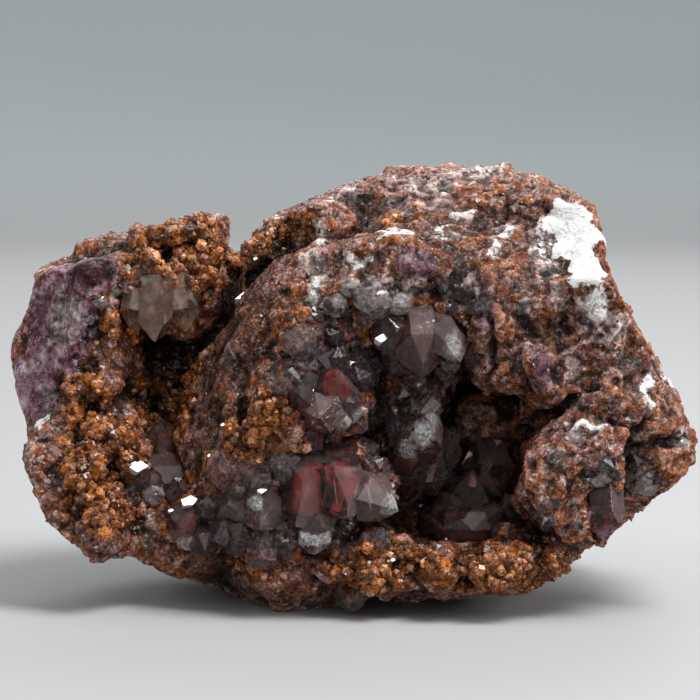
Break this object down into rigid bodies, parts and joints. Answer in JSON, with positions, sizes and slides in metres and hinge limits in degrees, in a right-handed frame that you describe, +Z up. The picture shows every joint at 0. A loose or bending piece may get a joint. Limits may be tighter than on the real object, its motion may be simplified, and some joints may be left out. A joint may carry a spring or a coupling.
{
  "type": "quartz on barite mineral specimen",
  "caption": "Hand specimen of rust-stained platy barite with open pockets, crusted with small quartz and set with larger see-through quartz and amethyst crystals.",
  "frame": {"origin": "on the ground under the middle of the specimen", "axes": "+X along the specimen's length to the right, +Y away from the side with the open pockets, +Z up"},
  "size_m": [0.0934, 0.0582, 0.059],
  "materials": {
    "rock": "rough",
    "quartz": "gloss",
    "amethyst": "gloss"
  },
  "bodies": {
    "root": {"barite_matrix": "rock", "front_quartz_cluster": "quartz", "middle_quartz_cluster": "quartz", "roof_quartz_cluster": "quartz", "frosted_quartz_point": "quartz", "right_amethyst_point": "amethyst", "left_amethyst_points": "amethyst", "foot_quartz_point": "quartz", "hanging_quartz_points": "quartz", "central_pocket_quartz": "amethyst", "left_pocket_quartz": "quartz"}
  },
  "joints": []
}
